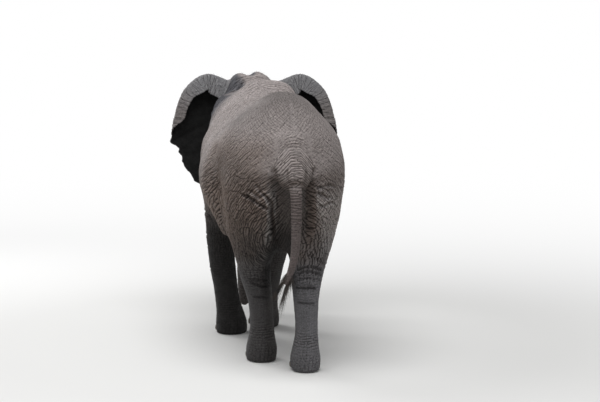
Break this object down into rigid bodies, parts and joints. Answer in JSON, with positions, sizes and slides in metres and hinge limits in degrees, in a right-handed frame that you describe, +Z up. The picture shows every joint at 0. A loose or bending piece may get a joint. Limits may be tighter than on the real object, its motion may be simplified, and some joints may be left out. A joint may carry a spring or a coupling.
{
  "type": "african savanna elephant",
  "caption": "Life-size still model of an adult African savanna elephant in mid-walk, ears spread, trunk lowered and tail hanging.",
  "frame": {"origin": "on the floor, under the middle of the bounding box", "axes": "+Z up, the head faces -Y, +X is the animal's left"},
  "size_m": [1.8238, 4.3244, 2.7809],
  "materials": {
    "hide": "dry wrinkled skin, dusty",
    "eye": "wet gloss",
    "ivory": "worn satin",
    "nail": "rough horn",
    "hair": "coarse wiry hair"
  },
  "bodies": {
    "root": {"barrel": "hide", "ear_left": "hide", "ear_right": "hide", "eye_left": "eye", "eye_right": "eye", "front_foot_left": "hide", "front_foot_right": "hide", "front_leg_lower_left": "hide", "front_leg_lower_right": "hide", "front_leg_upper_left": "hide", "front_leg_upper_right": "hide", "front_nail_left_1": "nail", "front_nail_left_2": "nail", "front_nail_left_3": "nail", "front_nail_left_4": "nail", "front_nail_right_1": "nail", "front_nail_right_2": "nail", "front_nail_right_3": "nail", "front_nail_right_4": "nail", "groin_fold": "hide", "head": "hide", "hind_foot_left": "hide", "hind_foot_right": "hide", "hind_leg_lower_left": "hide", "hind_leg_lower_right": "hide", "hind_leg_upper_left": "hide", "hind_leg_upper_right": "hide", "hind_nail_left_1": "nail", "hind_nail_left_2": "nail", "hind_nail_left_3": "nail", "hind_nail_right_1": "nail", "hind_nail_right_2": "nail", "hind_nail_right_3": "nail", "lower_jaw": "hide", "neck": "hide", "rump": "hide", "shoulders": "hide", "tail": "hide", "tail_tuft": "hair", "trunk": "hide", "tusk_left": "ivory", "tusk_right": "ivory"}
  },
  "joints": []
}
